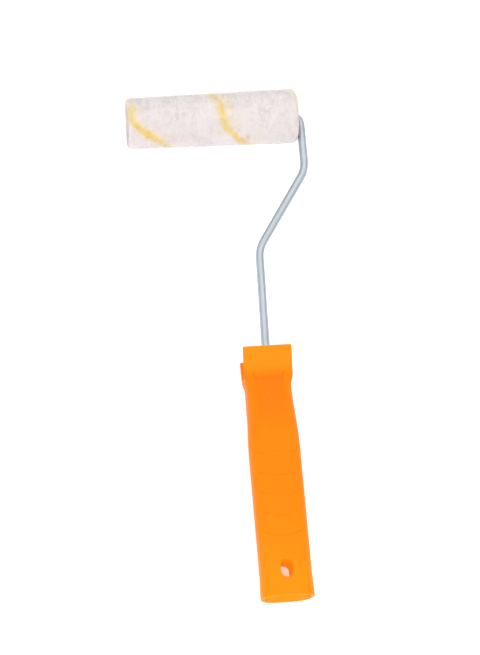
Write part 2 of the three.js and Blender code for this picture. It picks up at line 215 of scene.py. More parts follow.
def soft_max(a, b, blend):
    """The larger of two fields, with a rounded edge where they cross."""
    h = np.maximum(blend - np.abs(a - b), 0) / blend
    return np.maximum(a, b) + h * h * blend / 4


def soft_min(a, b, blend):
    return -soft_max(-a, -b, blend)


def carve(solid, tool, blend):
    """One field with another cut out of it."""
    return soft_max(solid, -tool, blend)


def bell(value, middle, width):
    """A smooth hump of height 1."""
    return np.exp(-((value - middle) / width) ** 2)


def unit(vectors):
    return vectors / np.linalg.norm(vectors, axis=-1, keepdims=True)


# Large odd numbers that scatter a cell's place into a repeatable random value.
CELL_KEYS = np.array([73856093, 19349663, 83492791])
SEED_KEY = 26544357
SCATTER_KEY = 1274126177


def cell_value(cell, seed):
    """A repeatable number from -1 to 1 for each whole-numbered cell."""
    key = cell @ CELL_KEYS + seed * SEED_KEY
    key = ((key ^ (key >> 13)) * SCATTER_KEY) & 0xFFFFFFFF
    return ((key ^ (key >> 16)) & 0xFFFFFF) / 0x7FFFFF - 1


def soft_noise(points, cell_size, seed):
    """Smooth noise from -1 to 1 that changes over about one cell."""
    place = np.asarray(points, float) / cell_size
    base = np.floor(place).astype(np.int64)
    t = ramp(place - base, 0, 1)
    total = np.zeros(len(place))
    for corner in range(8):
        step = np.array([corner & 1, corner >> 1 & 1, corner >> 2 & 1])
        share = np.prod(np.where(step == 1, t, 1 - t), axis=1)
        total += share * cell_value(base + step, seed)
    return total


def layer(points, amount, cell_size, seed):
    """Smooth noise of a given strength."""
    return amount * soft_noise(points, cell_size, seed)


# ---------------------------------------------------------------- meshes


def net_vertices(values, active):
    """One vertex in each cell that the surface crosses, at the mean of its edge crossings."""
    cells = np.argwhere(active)
    total = np.zeros((len(cells), 3))
    hits = np.zeros((len(cells), 1))
    for corner in range(8):
        near = np.array([corner & 1, corner >> 1 & 1, corner >> 2 & 1])
        for axis in np.flatnonzero(near == 0):
            far = near.copy()
            far[axis] = 1
            at_near = values[tuple((cells + near).T)]
            at_far = values[tuple((cells + far).T)]
            crosses = (at_near < 0) != (at_far < 0)
            share = np.where(crosses, at_near / np.where(crosses, at_near - at_far, 1), 0)
            total += crosses[:, None] * (near + (far - near) * share[:, None])
            hits += crosses[:, None]
    return cells + total / hits


def net_faces(inside, index):
    """The four cells round each grid edge that the surface crosses make one face."""
    faces = []
    for axis in range(3):
        u, v = (axis + 1) % 3, (axis + 2) % 3
        first, second = [slice(1, -1)] * 3, [slice(1, -1)] * 3
        first[axis], second[axis] = slice(0, -1), slice(1, None)
        starts, ends = inside[tuple(first)], inside[tuple(second)]
        for crossing, turn in ((starts & ~ends, 1), (~starts & ends, -1)):
            edge = np.argwhere(crossing)
            edge[:, u] += 1
            edge[:, v] += 1
            ring = []
            for back_u, back_v in ((1, 1), (0, 1), (0, 0), (1, 0)):
                cell = edge.copy()
                cell[:, u] -= back_u
                cell[:, v] -= back_v
                ring.append(index[tuple(cell.T)])
            faces.append(np.stack(ring, axis=1)[:, ::turn])
    return np.concatenate(faces)


def settle(field, points, rounds=4, reach=0.04, longest=0.3, flattest=0.2):
    """Moves points along the field's slope until they lie where it is zero."""
    for _ in range(rounds):
        slope = np.empty_like(points)
        for axis in range(3):
            step = np.zeros(3)
            step[axis] = reach
            rise = field(*(points + step).T) - field(*(points - step).T)
            slope[:, axis] = rise / (2 * reach)
        steep = np.maximum((slope * slope).sum(1), flattest)
        move = slope * (field(*points.T) / steep)[:, None]
        points = points - np.clip(move, -longest, longest)
    return points


def field_mesh(field, low, high, cell):
    """The closed surface on which a field is zero, in quads."""
    low = np.array(low, float)
    counts = np.ceil((np.array(high) - low) / cell).astype(int) + 1
    axes = [low[k] + cell * np.arange(counts[k]) for k in range(3)]
    values = field(*np.meshgrid(*axes, indexing="ij"))
    inside = values < 0
    corners = [
        inside[i:counts[0] - 1 + i, j:counts[1] - 1 + j, k:counts[2] - 1 + k]
        for i in (0, 1) for j in (0, 1) for k in (0, 1)
    ]
    filled = np.sum(corners, axis=0)
    active = (filled > 0) & (filled < 8)
    index = np.full(active.shape, -1)
    index[active] = np.arange(active.sum())
    points = net_vertices(values, active) * cell + low
    return settle(field, points), net_faces(inside, index)


def ring_faces(rings, sides, closed):
    """Quads between neighbouring rings of points, and back to the first ring if closed."""
    faces = []
    for i in range(rings if closed else rings - 1):
        this, following = i * sides, (i + 1) % rings * sides
        for j in range(sides):
            k = (j + 1) % sides
            faces.append((this + j, following + j, following + k, this + k))
    return faces


def make_piece(name, points, faces, body, slot, material, nodes=(), facts=None):
    """A smooth mesh object from bench points, riding on its body in place of its CAD nodes."""
    mesh = bpy.data.meshes.new(name)
    corners = faces if isinstance(faces, list) else faces.tolist()
    mesh.from_pydata(to_row(points).tolist(), [], corners)
    for key, values in (facts or {}).items():
        kind, field = ("FLOAT", "value") if values.ndim == 1 else ("FLOAT_VECTOR", "vector")
        mesh.attributes.new(key, kind, "POINT").data.foreach_set(field, values.ravel())
    mesh.update()
    mesh.shade_smooth()
    mesh.materials.append(material)
    piece = bpy.data.objects.new(name, mesh)
    bpy.context.scene.collection.objects.link(piece)
    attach(piece, body)
    if nodes:
        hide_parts(*nodes)


# ---------------------------------------------------------------- material nodes

PAINTED_GLOW_STRENGTH = 0.55  # painted glow: emission inside the hang hole, standing in for light that its thin walls would carry
NOISE_SPAN = (0.3, 0.7)  # the values that a noise mostly stays between
TWO_NOISES_SPAN = (0.7, 1.3)  # the same for the sum of two
CONVEX_SPAN = (0.51, 0.56)  # pointiness from a flat face to a sharp edge


class Shader:
    """A material's nodes, added by short calls."""

    def __init__(self, name):
        self.material = bpy.data.materials.new(name)
        self.material.use_nodes = True
        self.tree = self.material.node_tree
        self.surface = self.tree.nodes["Principled BSDF"]
        self.place = self.tree.nodes.new("ShaderNodeTexCoord").outputs["Object"]

    def link(self, source, target):
        self.tree.links.new(source, target)

    def feed(self, value, socket):
        """Links a socket's output, or sets a plain number or colour."""
        if isinstance(value, bpy.types.NodeSocket):
            self.link(value, socket)
        else:
            socket.default_value = (*value, 1) if isinstance(value, tuple) else value

    def set(self, **values):
        for key, value in values.items():
            self.surface.inputs[key.replace("_", " ")].default_value = value

    def stretched(self, scale, source=None):
        node = self.tree.nodes.new("ShaderNodeMapping")
        node.inputs["Scale"].default_value = scale
        self.link(source or self.place, node.inputs["Vector"])
        return node.outputs["Vector"]

    def attribute(self, name, output):
        node = self.tree.nodes.new("ShaderNodeAttribute")
        node.attribute_name = name
        return node.outputs[output]

    def noise(self, scale, detail=3, place=None, rough=0.5):
        node = self.tree.nodes.new("ShaderNodeTexNoise")
        node.inputs["Scale"].default_value = scale
        node.inputs["Detail"].default_value = detail
        node.inputs["Roughness"].default_value = rough
        self.link(place or self.place, node.inputs["Vector"])
        return node.outputs["Fac"]

    def math(self, operation, first, second):
        node = self.tree.nodes.new("ShaderNodeMath")
        node.operation = operation
        self.feed(first, node.inputs[0])
        self.feed(second, node.inputs[1])
        return node.outputs[0]

    def ranged(self, source, low, high, to_low, to_high):
        node = self.tree.nodes.new("ShaderNodeMapRange")
        names = ("From Min", "From Max", "To Min", "To Max")
        for key, value in zip(names, (low, high, to_low, to_high)):
            node.inputs[key].default_value = value
        self.link(source, node.inputs["Value"])
        return node.outputs["Result"]

    def blend(self, factor, first, second, kind="MIX"):
        node = self.tree.nodes.new("ShaderNodeMix")
        node.data_type = "RGBA"
        node.blend_type = kind
        for value, socket in zip((factor, first, second), (node.inputs[k] for k in (0, 6, 7))):
            self.feed(value, socket)
        return node.outputs[2]

    def edges(self):
        """1 on convex edges, 0 on flats."""
        node = self.tree.nodes.new("ShaderNodeNewGeometry")
        return self.ranged(node.outputs["Pointiness"], *CONVEX_SPAN, 0, 1)

    def bump(self, *heights):
        """Stacks (height, distance in metres) pairs into the surface's normal."""
        normal = None
        for height, distance in heights:
            node = self.tree.nodes.new("ShaderNodeBump")
            node.inputs["Distance"].default_value = distance
            self.link(height, node.inputs["Height"])
            if normal:
                self.link(normal, node.inputs["Normal"])
            normal = node.outputs["Normal"]
        self.link(normal, self.surface.inputs["Normal"])

    def color(self, source):
        self.link(source, self.surface.inputs["Base Color"])

    def roughness(self, source):
        self.link(source, self.surface.inputs["Roughness"])


def scaled(color, factor):
    return tuple(min(1.0, c * factor) for c in color)


def moulded_plastic(name, deep, pale, rough, glow, gloss=0.3):
    """Moulded plastic, paler where it is thin and with painted light and shade (pale lips and scoop
    ridges, a dark neck under the lip), with flow marks, a fine grain and paler sharp edges.

    Inside the hang hole it has a painted glow: emission that stands in for the light its thin walls carry.
    """
    s = Shader(name)
    # painted glow: emission on the hang hole's wall, where its mask is 1
    carried = s.math("MULTIPLY", s.attribute("carried", "Fac"), PAINTED_GLOW_STRENGTH)
    s.link(carried, s.surface.inputs["Emission Strength"])
    s.set(Emission_Color=(*pale, 1))
    flow = s.ranged(s.noise(25, 4, s.stretched((1, 0.35, 1))), *NOISE_SPAN, -0.12, 0.12)
    # the paleness blends deep to pale; it carries wall thickness and also painted light and shade
    tone = s.blend(s.math("ADD", s.attribute("thin", "Fac"), flow), deep, pale)
    # paler on sharp convex edges, in patches
    paler_edges = s.math("MULTIPLY", s.edges(), s.ranged(s.noise(300), *NOISE_SPAN, 0.1, 0.6))
    s.color(s.blend(paler_edges, tone, scaled(pale, 1.2)))
    grain = s.noise(2600, 2)
    uneven = s.math("ADD", s.noise(180, 4), grain)
    s.roughness(s.ranged(uneven, *TWO_NOISES_SPAN, rough - 0.06, rough + 0.08))
    s.bump((grain, 0.000025), (s.noise(90), 0.00006))
    s.set(Subsurface_Weight=glow, Subsurface_Radius=(1.0, 0.4, 0.05), Subsurface_Scale=0.002,
          IOR=1.2, Specular_IOR_Level=gloss)
    return s.material


def zinc_plate(name, color, film_and_dark_edges, rough):
    """Bright zinc over drawn wire, under a grey tinted coat that stands for a passivated film and, darker
    at grazing angles, paints dark reflections along the outline: fine lines, clouds and dull specks.
    """
    s = Shader(name)
    drawn = s.noise(1, 3, s.stretched((1600, 25, 1), s.attribute("flow", "Vector")))
    cloud = s.noise(140, 4)
    tone = s.blend(s.ranged(cloud, 0.35, 0.65, 0, 1), scaled(color, 1.04), scaled(color, 0.92))
    tone = s.blend(s.ranged(drawn, 0.35, 0.75, 0, 0.5), tone, scaled(color, 0.7))
    specks = s.ranged(s.noise(900, 2), 0.66, 0.72, 0, 0.5)
    s.color(s.blend(specks, tone, scaled(color, 0.6)))
    s.roughness(s.ranged(s.math("ADD", drawn, cloud), *TWO_NOISES_SPAN, rough - 0.07, rough + 0.1))
    s.bump((drawn, 0.00002), (s.noise(700, 2), 0.00002))
    # the coat's tint darkens the outline most: painted dark reflection, over a faint grey film
    s.set(Metallic=1.0, Coat_Weight=1.0, Coat_IOR=1.03, Coat_Roughness=0.3, Coat_Tint=(*film_and_dark_edges, 1))
    return s.material


def pressed_steel(name, color, rough):
    """Bright pressed steel: turned rings, faint stains and worn, brighter edges."""
    s = Shader(name)
    stain = s.noise(400, 4)
    tone = s.blend(s.ranged(stain, 0.35, 0.7, 0, 1), color, scaled(color, 0.75))
    s.color(s.blend(s.math("MULTIPLY", s.edges(), 0.6), tone, scaled(color, 1.3)))
    rings = s.noise(1800, 2, s.stretched((0.05, 1, 1)))
    s.roughness(s.ranged(s.math("ADD", stain, rings), *TWO_NOISES_SPAN, rough - 0.08, rough + 0.1))
    s.bump((rings, 0.00001), (stain, 0.00002))
    s.set(Metallic=1.0)
    return s.material


def core_plastic(name, pale, dark):
    """The sleeve's core: off-white plastic tube with a faint drawn grain and paler edges."""
    s = Shader(name)
    grain = s.noise(900, 4, s.stretched((1, 0.3, 0.3)))
    tone = s.blend(s.ranged(grain, *NOISE_SPAN, 0, 1), pale, dark)
    s.color(s.blend(s.math("MULTIPLY", s.edges(), 0.5), tone, scaled(pale, 1.1)))
    s.roughness(s.ranged(grain, *NOISE_SPAN, 0.55, 0.75))
    s.bump((grain, 0.00004), (s.noise(150), 0.00006))
    return s.material


def knitted_pile(name, ground, shade, beige, yellow, deep_yellow):
    """Short knitted pile: matt fibres, with painted shade between tufts and along combed streaks, dyed
    where the stripes wind round.
    """
    s = Shader(name)
    tuft = s.noise(700, 4, s.stretched((1, 0.6, 0.6)), 0.6)
    fibre = s.noise(3000, 3, rough=0.7)
    coarse, fine = s.ranged(tuft, *NOISE_SPAN, -0.2, 0.2), s.ranged(fibre, *NOISE_SPAN, -0.12, 0.12)
    ragged = s.math("ADD", coarse, fine)
    cover = s.math("ADD", s.attribute("stripe", "Fac"), ragged)
    tone = s.blend(s.ranged(s.noise(60, 4), 0.35, 0.65, 0, 1), ground, shade)
    tone = s.blend(s.ranged(cover, 0.05, 0.45, 0, 1), tone, beige)
    dyed = s.blend(s.ranged(s.noise(180), 0.35, 0.7, 0, 1), yellow, deep_yellow)
    tone = s.blend(s.ranged(cover, 0.35, 0.9, 0, 1), tone, dyed)
    combed = s.noise(420, 3, s.stretched((1, 0.22, 0.22)))
    # painted shade between tufts and along combed streaks
    shaded = s.math("ADD", s.ranged(tuft, 0.25, 0.6, 0.1, 0), s.ranged(combed, 0.35, 0.65, 0.09, 0))
    hollow = s.math("ADD", s.attribute("hollow", "Fac"), shaded)
    s.color(s.blend(hollow, tone, scaled(shade, 0.85), "MULTIPLY"))
    s.roughness(s.ranged(tuft, *NOISE_SPAN, 1.0, 0.85))
    s.bump((tuft, 0.0002), (fibre, 0.00008))
    s.set(Sheen_Weight=0.3, Sheen_Roughness=0.6, Subsurface_Weight=0.1, Specular_IOR_Level=0.2,
          Subsurface_Radius=(1.0, 0.9, 0.85), Subsurface_Scale=0.001)
    return s.material


# ---------------------------------------------------------------- handle

TINY_RADIUS, TINY_SHARE = 1e-6, 1e-9  # keep a division and a root away from zero


def handle_reach(y):
    """Half width, front and back reach of the handle's outside at a station along it."""
    width = mix(HALF_WIDTH_BUTT, HALF_WIDTH_GRIP, ramp(y, *BUTT_TO_GRIP))
    width = mix(width, HALF_WIDTH_NECK, ramp(y, *GRIP_TO_NECK))
    width = mix(width, HALF_WIDTH_LIP, ramp(y, *NECK_TO_LIP))
    lip_face = CREASE_Z + (y - NECK_Y) * LIP_SLOPE
    front = soft_max(mix(FRONT_GRIP, FRONT_NECK, ramp(y, *THUMB_DIP)), lip_face, LIP_FOOT_BLEND)
    to_neck = ramp(y, *PALM_TO_NECK)
    behind = mix(mix(BACK_BUTT, BACK_NECK, to_neck), BACK_PALM, ramp(y, 0, PALM_Y) * (1 - to_neck))
    flare = (y - BACK_FLARE[0]) / (BACK_FLARE[1] - BACK_FLARE[0])
    return width, front, behind + (BACK_LIP - BACK_NECK) * np.clip(flare, 0, FLARE_RUN_ON)


def handle_skin(x, y, z):
    """How far a point lies outside the handle's plain form, measured from its axis."""
    width, front, back = handle_reach(y)
    ahead = z > 0
    depth = np.where(ahead, front, back)
    front_power = mix(*FRONT_POWERS, ramp(y, *FRONT_SQUARING))
    back_power = mix(*BACK_POWERS, ramp(y, *BACK_SQUARING))
    power = np.where(ahead, front_power, back_power)
    radius = np.hypot(x, z) + TINY_RADIUS
    about = HALF_WIDTH_GRIP
    across, outward = about * x / radius / width, about * z / radius / depth
    share = np.abs(across) ** power + np.abs(outward) ** power
    return radius - about * (share + TINY_SHARE) ** (-1 / power)


def hole_field(x, y):
    """The hang hole: an upright slot with round ends."""
    straight = (HOLE_HEIGHT - HOLE_WIDTH) / 2
    return np.hypot(x, np.maximum(np.abs(y - HOLE_Y) - straight, 0)) - HOLE_WIDTH / 2


def notch_field(y, z):
    """The V between the lips, and the space over the lower back lip."""
    front_lean = (FRONT_LIP - LIP_WALL - NOTCH_FLOOR_FRONT) / (HANDLE_LENGTH - NECK_Y)
    back_lean = (BACK_LIP - LIP_WALL - NOTCH_FLOOR_BACK) / (BACK_LIP_Y - NECK_Y)
    front = (z - NOTCH_FLOOR_FRONT - (y - NECK_Y) * front_lean) / math.hypot(1, front_lean)
    back = (-z - NOTCH_FLOOR_BACK - (y - NECK_Y) * back_lean) / math.hypot(1, back_lean)
    vee = soft_max(soft_max(front, back, NOTCH_SIDES_BLEND), NECK_Y - y, NOTCH_FLOOR_BLEND)
    return np.minimum(vee, np.maximum(BACK_LIP_Y - y, z - OVER_BACK_LIP_Z))


def scoop_field(x, y, z):
    """A trough for the thumb, deepest under the lip and kept off the lip's own face."""
    share = np.maximum(0, (np.minimum(y, NECK_Y) - SCOOP_START_Y) / (NECK_Y - SCOOP_START_Y))
    middle = SCOOP_START_Z - (SCOOP_START_Z - SCOOP_FLOOR_Z) * share ** 2
    floor = mix(middle, SCOOP_START_Z, ramp(np.abs(x), *SCOOP_FLANK))
    lip = (CREASE_Z + (y - NECK_Y) * LIP_SLOPE - z) / math.hypot(1, LIP_SLOPE)
    return soft_max(floor - z, lip, SCOOP_TO_LIP_BLEND)


def grip_steps(x, y, z):
    """Depth of the smile-shaped steps: sharp below, fading towards the thumb scoop."""
    across = x / STEP_HALF_SPAN
    fade = (1 - ramp(np.abs(across), *STEP_SIDE_FADE)) * ramp(z, *STEP_FRONT_FADE)
    depth = 0
    for k in range(STEP_COUNT):
        line = STEP_FIRST_Y + k * STEP_PITCH - STEP_SAG / 2 + STEP_SAG * across ** 2
        above = y - line
        run_out = np.exp(-np.maximum(above, 0) / STEP_RUN_OUT)
        depth = depth + ramp(above, -STEP_EDGE, STEP_EDGE) * run_out
    return STEP_DEPTH * depth * fade


def handle_field(x, y, z):
    """The whole moulded shell: outside, steps, scoop, notch, socket, hollow and hang hole."""
    skin = handle_skin(x, y, z)
    hole = hole_field(x, y)
    raised_rim = HOLE_RIM_HEIGHT * bell(hole, HOLE_RIM_OFF, HOLE_RIM_WIDTH)
    solid = soft_max(skin + grip_steps(x, y, z) - raised_rim, -y, RIM_ROUND)
    solid = soft_max(solid, y - HANDLE_LENGTH, LIP_TOP_ROUND)
    solid = carve(solid, scoop_field(x, y, z), SCOOP_BLEND)
    solid = carve(solid, notch_field(y, z), NOTCH_ROUND)
    socket_end = HOLLOW_END_Y - SOCKET_OVERLAP - y
    socket = soft_max(np.hypot(x, z) - BORE_R, socket_end, SOCKET_END_BLEND)
    solid = carve(solid, socket, SOCKET_ROUND)
    hollow = soft_max(skin + SHELL_WALL, y - HOLLOW_END_Y, HOLLOW_END_BLEND)
    solid = carve(solid, hollow, HOLLOW_RIM_ROUND)
    return carve(solid, hole, HOLE_ROUND)


def plug_field(x, y, z):
    """The plug that closes the hollow, with the hang hole through it."""
    body = handle_skin(x, y, z) + SHELL_WALL + PLUG_FIT
    body = soft_max(soft_max(body, PLUG_SINK - y, PLUG_ROUND), y - PLUG_DEPTH, PLUG_ROUND)
    return carve(body, hole_field(x, y), PLUG_HOLE_ROUND)


# How pale the plastic is, partly for its thinness and partly as painted light and shade (a dark neck under
# the lip, pale lips and scoop ridges), and the stations between which that changes.
PALE_BUTT, PALE_GRIP, PALE_NECK, PALE_LIP = 0.75, 0.45, 0, 1
PALE_RIM = 0.25  # added at the open end
RIDGE_HIGHLIGHT, RIDGE_HIGHLIGHT_SHARE = 0.5, 0.8  # painted highlight on the ridges either side of the thumb scoop, and how much of it
BUTT_TO_GRIP_TONE = (12, 60)
RIM_TONE = (6, 24)
GRIP_TO_NECK_TONE = (HOLLOW_END_Y + 8, NECK_Y - 12)
RIDGE_INNER, RIDGE_OUTER = (7, 11), (12, 14)
RIDGE_START = (SCOOP_START_Y - 4, SCOOP_START_Y + 14)
RIDGE_FRONT = (0, 4)
LIP_DEPTH_TONE = (-LIP_WALL - 1, -1)
LIP_START_TONE = (NECK_Y - 1, NECK_Y + 7)

# The painted glow inside the hang hole fades off its wall and towards its mouths.
GLOW_OFF_WALL = (0.15, 0.8)
GLOW_BELOW_MOUTH = (0.2, 2)


def thinness_and_painted_light(x, y, z):
    """0 at the solid neck, about a half along the hollow grip and 1 at the lips and the open end: partly
    wall thickness, partly painted shade under the lip and painted highlight on the lips and ridges.
    """
    rim = PALE_RIM * (1 - ramp(y, *RIM_TONE))
    grip = mix(PALE_BUTT, PALE_GRIP, ramp(y, *BUTT_TO_GRIP_TONE)) + rim
    body = mix(grip, PALE_NECK, ramp(y, *GRIP_TO_NECK_TONE))
    # painted highlight on the ridges either side of the thumb scoop
    ridge_highlight = ramp(np.abs(x), *RIDGE_INNER) * (1 - ramp(np.abs(x), *RIDGE_OUTER)) * ramp(y, *RIDGE_START)
    body = mix(body, RIDGE_HIGHLIGHT, RIDGE_HIGHLIGHT_SHARE * ridge_highlight * ramp(z, *RIDGE_FRONT))
    # the lips paler, partly for their thin wall and partly as painted light
    lip_face = CREASE_Z + (y - NECK_Y) * LIP_SLOPE
    lip = ramp(z - lip_face, *LIP_DEPTH_TONE) * ramp(y, *LIP_START_TONE)
    return mix(body, PALE_LIP, lip)


def painted_glow_mask(points):
    """Mask of the painted glow: 1 on the hang hole's wall, 0 outside it."""
    x, y, z = points.T
    depth = np.where(z > 0, FRONT_GRIP, BACK_BUTT) - np.abs(z)
    return (1 - ramp(hole_field(x, y), *GLOW_OFF_WALL)) * ramp(depth, *GLOW_BELOW_MOUTH)


# The grid that the handle's fields are meshed on reaches a little past the handle.
HANDLE_GRID_LOW = (-HALF_WIDTH_BUTT - 1.4, -1.1, -BACK_PALM - 1.6)
HANDLE_GRID_HIGH = (HALF_WIDTH_BUTT + 1.5, HANDLE_LENGTH + 1, FRONT_LIP + 2.5)
PLUG_GRID_HIGH = (HANDLE_GRID_HIGH[0], PLUG_DEPTH + 1, HANDLE_GRID_HIGH[2])
HANDLE_CELL, QUICK_HANDLE_CELL, PLUG_CELL = 0.55, 0.75, 0.6
PLUG_PALENESS = 0.8


def build_handle(plastic, plug_plastic):
    """The moulded handle and the plug in its open end."""
    cell = HANDLE_CELL
    shell = field_mesh(handle_field, HANDLE_GRID_LOW, HANDLE_GRID_HIGH, cell)
    facts = {"thin": thinness_and_painted_light(*shell[0].T), "carried": painted_glow_mask(shell[0])}
    make_piece("handle", *shell, "frame", "handle", plastic, ["handle_shell"], facts)
    plug = field_mesh(plug_field, HANDLE_GRID_LOW, PLUG_GRID_HIGH, PLUG_CELL)
    facts = {"thin": np.full(len(plug[0]), PLUG_PALENESS), "carried": painted_glow_mask(plug[0])}
    make_piece("end_plug", *plug, "frame", "plug", plug_plastic, ["butt_plug"], facts)


# ---------------------------------------------------------------- wire


def bend_points(before, corner, after, radius, count=24):
    """Points round one bend between two straight runs."""
    into, out = unit(corner - before), unit(after - corner)
    turn = math.acos(np.clip(into @ out, -1, 1))
    start = corner - into * radius * math.tan(turn / 2)
    inward = unit(out - into * (into @ out))
    angles = np.linspace(0, turn, count)[:, None]
    return start + radius * (np.sin(angles) * into + (1 - np.cos(angles)) * inward)


def wire_path():
    """The rod's centreline from its tip in the sleeve to its foot in the handle, closely spaced."""
    corners = np.array([
        (WIRE_TIP_X, SLEEVE_AXIS_Y, 0),
        (LEG_X, SLEEVE_AXIS_Y, 0),
        (LEG_X, UPPER_KNEE_Y, 0),
        (*LOWER_KNEE, 0),
        (0, NECK_Y, 0),
        (0, WIRE_FOOT_Y, 0),
    ])
    radii = (ELBOW_R, KNEE_R, KNEE_R, KNEE_R)
    bends = [bend_points(*corners[k:k + 3], radius) for k, radius in enumerate(radii)]
    path = np.concatenate([corners[:1], *bends, corners[-1:]])
    run = np.concatenate([[0], np.cumsum(np.linalg.norm(np.diff(path, axis=0), axis=1))])
    ends = [0, WIRE_CHAMFER, run[-1] - WIRE_CHAMFER, run[-1]]
    steps = np.arange(WIRE_STEP_INSET, run[-1] - WIRE_STEP_INSET, WIRE_STEP)
    at = np.unique(np.concatenate([steps, ends]))
    return at, np.stack([np.interp(at, run, path[:, k]) for k in range(3)], axis=1)


def build_wire(zinc, sides=40):
    """The rod with chamfered ends, flattened a little where it was bent."""
    at, path = wire_path()
    along = unit(np.gradient(path, at, axis=0))
    bend = np.linalg.norm(np.gradient(along, at, axis=0), axis=1)
    up = np.array([0, 0, 1.0])
    across = np.cross(along, up)
    ends = np.minimum(at, at[-1] - at)
    radius = WIRE_R - WIRE_CHAMFER * (1 - np.clip(ends / WIRE_CHAMFER, 0, 1))
    flattened = 1 - BEND_FLATTENING * np.minimum(bend, SHARPEST_BEND)
    angles = np.arange(sides) * 2 * math.pi / sides
    sideways = (radius * flattened)[:, None, None] * np.cos(angles)[:, None] * across[:, None, :]
    upward = radius[:, None, None] * np.sin(angles)[:, None] * up
    points = (path[:, None, :] + sideways + upward).reshape(-1, 3)
    flow = np.zeros((len(at), sides, 3))
    flow[..., 0] = np.minimum(angles, 2 * math.pi - angles) * WIRE_R * MM
    flow[..., 1] = at[:, None] * MM
    caps = [tuple(range(sides)), tuple(range(len(points) - 1, len(points) - sides - 1, -1))]
    faces = ring_faces(len(at), sides, False) + caps
    facts = {"flow": flow.reshape(-1, 3)}
    make_piece("wire_rod", points, faces, "frame", "wire", zinc, ["wire_frame"], facts)


# ---------------------------------------------------------------- parts on the sleeve's axis

GRID_MARGIN = 1  # how far a grid reaches past the part on it
BEARING_CELL, CORE_CELL, WASHER_CELL, PUSH_NUT_CELL, EAR_CELL = 0.35, 0.6, 0.2, 0.17, 0.2
DISH_BLEND, WEB_BLEND, FLANGE_BLEND, RIB_BLEND = 0.4, 0.4, 0.5, 0.3
CORE_BLEND, WASHER_BLEND = 0.5, 0.25
NUT_RIM_BLEND, NUT_SLIT_BLEND, NUT_SLIT_ROUND = 0.3, 0.3, 0.2
EAR_SLAB_BLEND, EAR_TIP_BLEND, EAR_ROOT_BLEND = 0.4, 0.8, 0.1
BARREL_START = 0.2  # depth at which the barrel and hub begin, inside the flange
EAR_GRID_LENGTH, EAR_GRID_R = 3, 4  # room for the ears


def tube_field(along, radius, start, stop, inner, outer, blend):
    """A plain ring between two places along an axis."""
    ends = np.abs(along - (start + stop) / 2) - (stop - start) / 2
    wall = np.abs(radius - (inner + outer) / 2) - (outer - inner) / 2
    return soft_max(ends, wall, blend)


def axis_radius(y, z):
    return np.hypot(y - SLEEVE_AXIS_Y, z)


def axis_piece(name, field, start, stop, outer, cell, body, slot, material, nodes=()):
    """Meshes a field that lies round the sleeve's axis."""
    low = (start - GRID_MARGIN, SLEEVE_AXIS_Y - outer - GRID_MARGIN, -outer - GRID_MARGIN)
    high = (stop + GRID_MARGIN, SLEEVE_AXIS_Y + outer + GRID_MARGIN, outer + GRID_MARGIN)
    make_piece(name, *field_mesh(field, low, high, cell), body, slot, material, nodes)


def bearing_field(face_x, side):
    """A flanged plug: hub, web, barrel, four ribs and a dished face with a raised bore ring."""
    barrel = CORE_R - CORE_WALL - GAP

    def field(x, y, z):
        depth = (face_x - x) * side
        r = axis_radius(y, z)

        def ring(start, stop, inner, outer, blend):
            return tube_field(depth, r, start, stop, inner, outer, blend)

        solid = ring(0, FLANGE_THICK, BORE_R, FLANGE_R, FLANGE_BLEND)
        solid = soft_min(solid, ring(0, WEB_THICK, BORE_R, barrel, WEB_BLEND), WEB_BLEND)
        walls = ((BARREL_LENGTH, barrel - BARREL_WALL, barrel), (HUB_LENGTH, BORE_R, HUB_R))
        for stop, inner, outer in walls:
            solid = soft_min(solid, ring(BARREL_START, stop, inner, outer, FLANGE_BLEND), FLANGE_BLEND)
        ahead = y - SLEEVE_AXIS_Y
        arm = np.minimum(np.abs(ahead - z), np.abs(ahead + z)) / math.sqrt(2)
        ribs = soft_max(arm - RIB_HALF, ring(*RIB_SPAN, *RIB_REACH, RIB_BLEND), RIB_BLEND)
        solid = soft_min(solid, ribs, FLANGE_BLEND)
        dish = ring(-1, FLANGE_DISH_DEPTH, *FLANGE_DISH, FLANGE_BLEND)
        return carve(solid, dish, DISH_BLEND)

    return field


def push_nut_field(x, y, z):
    """A dished spring washer with slits between the teeth that grip the rod."""
    near_x = FREE_END_FACE_X - 2 * GAP - WASHER_THICK
    r = axis_radius(y, z)
    dish = PUSH_NUT_DISH * (PUSH_NUT_R - r) / (PUSH_NUT_R - BORE_R)
    depth = near_x - dish - x
    solid = tube_field(depth, r, 0, PUSH_NUT_THICK, WIRE_R + PUSH_NUT_GRIP, PUSH_NUT_R, NUT_RIM_BLEND)
    turn = np.arctan2(z, y - SLEEVE_AXIS_Y) * PUSH_NUT_TEETH / (2 * math.pi)
    off_slit = np.abs(turn - np.round(turn)) * 2 * math.pi / PUSH_NUT_TEETH * r
    slit = soft_max(off_slit - PUSH_NUT_SLIT_HALF, r - PUSH_NUT_SLIT_R, NUT_SLIT_BLEND)
    return carve(solid, slit, NUT_SLIT_ROUND)


def ears_field(x, y, z):
    """Two ears pinched out of the rod, which keep the sleeve from sliding to the elbow."""
    across = np.abs(y - SLEEVE_AXIS_Y)
    at = WIRE_END_FACE_X + EAR_OFF
    slab = soft_max(np.abs(x - at) - EAR_HALF_THICK, np.abs(z) - EAR_HALF_HEIGHT, EAR_SLAB_BLEND)
    slab = soft_max(slab, across - EAR_HALF_SPAN, EAR_TIP_BLEND)
    return carve(slab, axis_radius(y, z) - WIRE_R + EAR_ROOT, EAR_ROOT_BLEND)


def ring_field(start, stop, inner, outer, blend):
    return lambda x, y, z: tube_field(x, axis_radius(y, z), start, stop, inner, outer, blend)


